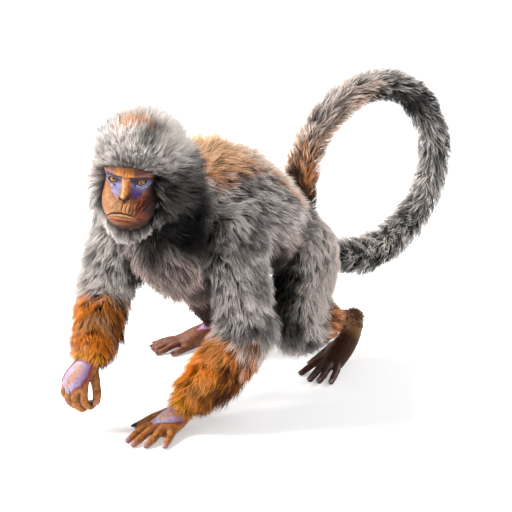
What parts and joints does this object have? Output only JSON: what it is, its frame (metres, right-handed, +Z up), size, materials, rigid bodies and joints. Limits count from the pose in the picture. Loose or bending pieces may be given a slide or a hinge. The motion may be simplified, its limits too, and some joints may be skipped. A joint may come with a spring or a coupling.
{
  "type": "monkey",
  "caption": "Life-size still monkey in a low walk on all fours, with a hood of grey fur round a bare face, golden forearms and a long shaggy tail in a loop.",
  "frame": {"origin": "on the floor under the middle of the bounding box", "axes": "+Z up, -Y the way the animal walks, +X its left side"},
  "size_m": [0.3472, 0.8808, 0.5139],
  "materials": {
    "coat": "long soft fur with dark roots and pale tips",
    "coat_gold": "long shaggy golden to rust fur",
    "skin": "bare leathery skin with folds and lavender patches",
    "eye": "wet amber eye",
    "nail": "satin horn"
  },
  "bodies": {
    "root": {"abdomen": "coat", "chest": "coat", "eye_l": "eye", "eye_r": "eye", "face": "skin", "foot_l": "skin", "foot_r": "skin", "forearm_l": "coat_gold", "forearm_r": "coat_gold", "hand_l": "skin", "hand_r": "skin", "head": "coat", "nail_foot_l_1": "nail", "nail_foot_l_2": "nail", "nail_foot_l_3": "nail", "nail_foot_l_4": "nail", "nail_foot_l_5": "nail", "nail_foot_r_1": "nail", "nail_foot_r_2": "nail", "nail_foot_r_3": "nail", "nail_foot_r_4": "nail", "nail_foot_r_5": "nail", "nail_hand_l_1": "nail", "nail_hand_l_2": "nail", "nail_hand_l_3": "nail", "nail_hand_l_4": "nail", "nail_hand_l_5": "nail", "nail_hand_r_1": "nail", "nail_hand_r_2": "nail", "nail_hand_r_3": "nail", "nail_hand_r_4": "nail", "nail_hand_r_5": "nail", "neck": "coat", "shin_l": "coat_gold", "shin_r": "coat_gold", "tail_1": "coat", "tail_2": "coat", "tail_3": "coat", "tail_4": "coat", "tail_5": "coat", "thigh_l": "coat", "thigh_r": "coat", "upper_arm_l": "coat", "upper_arm_r": "coat"}
  },
  "joints": []
}
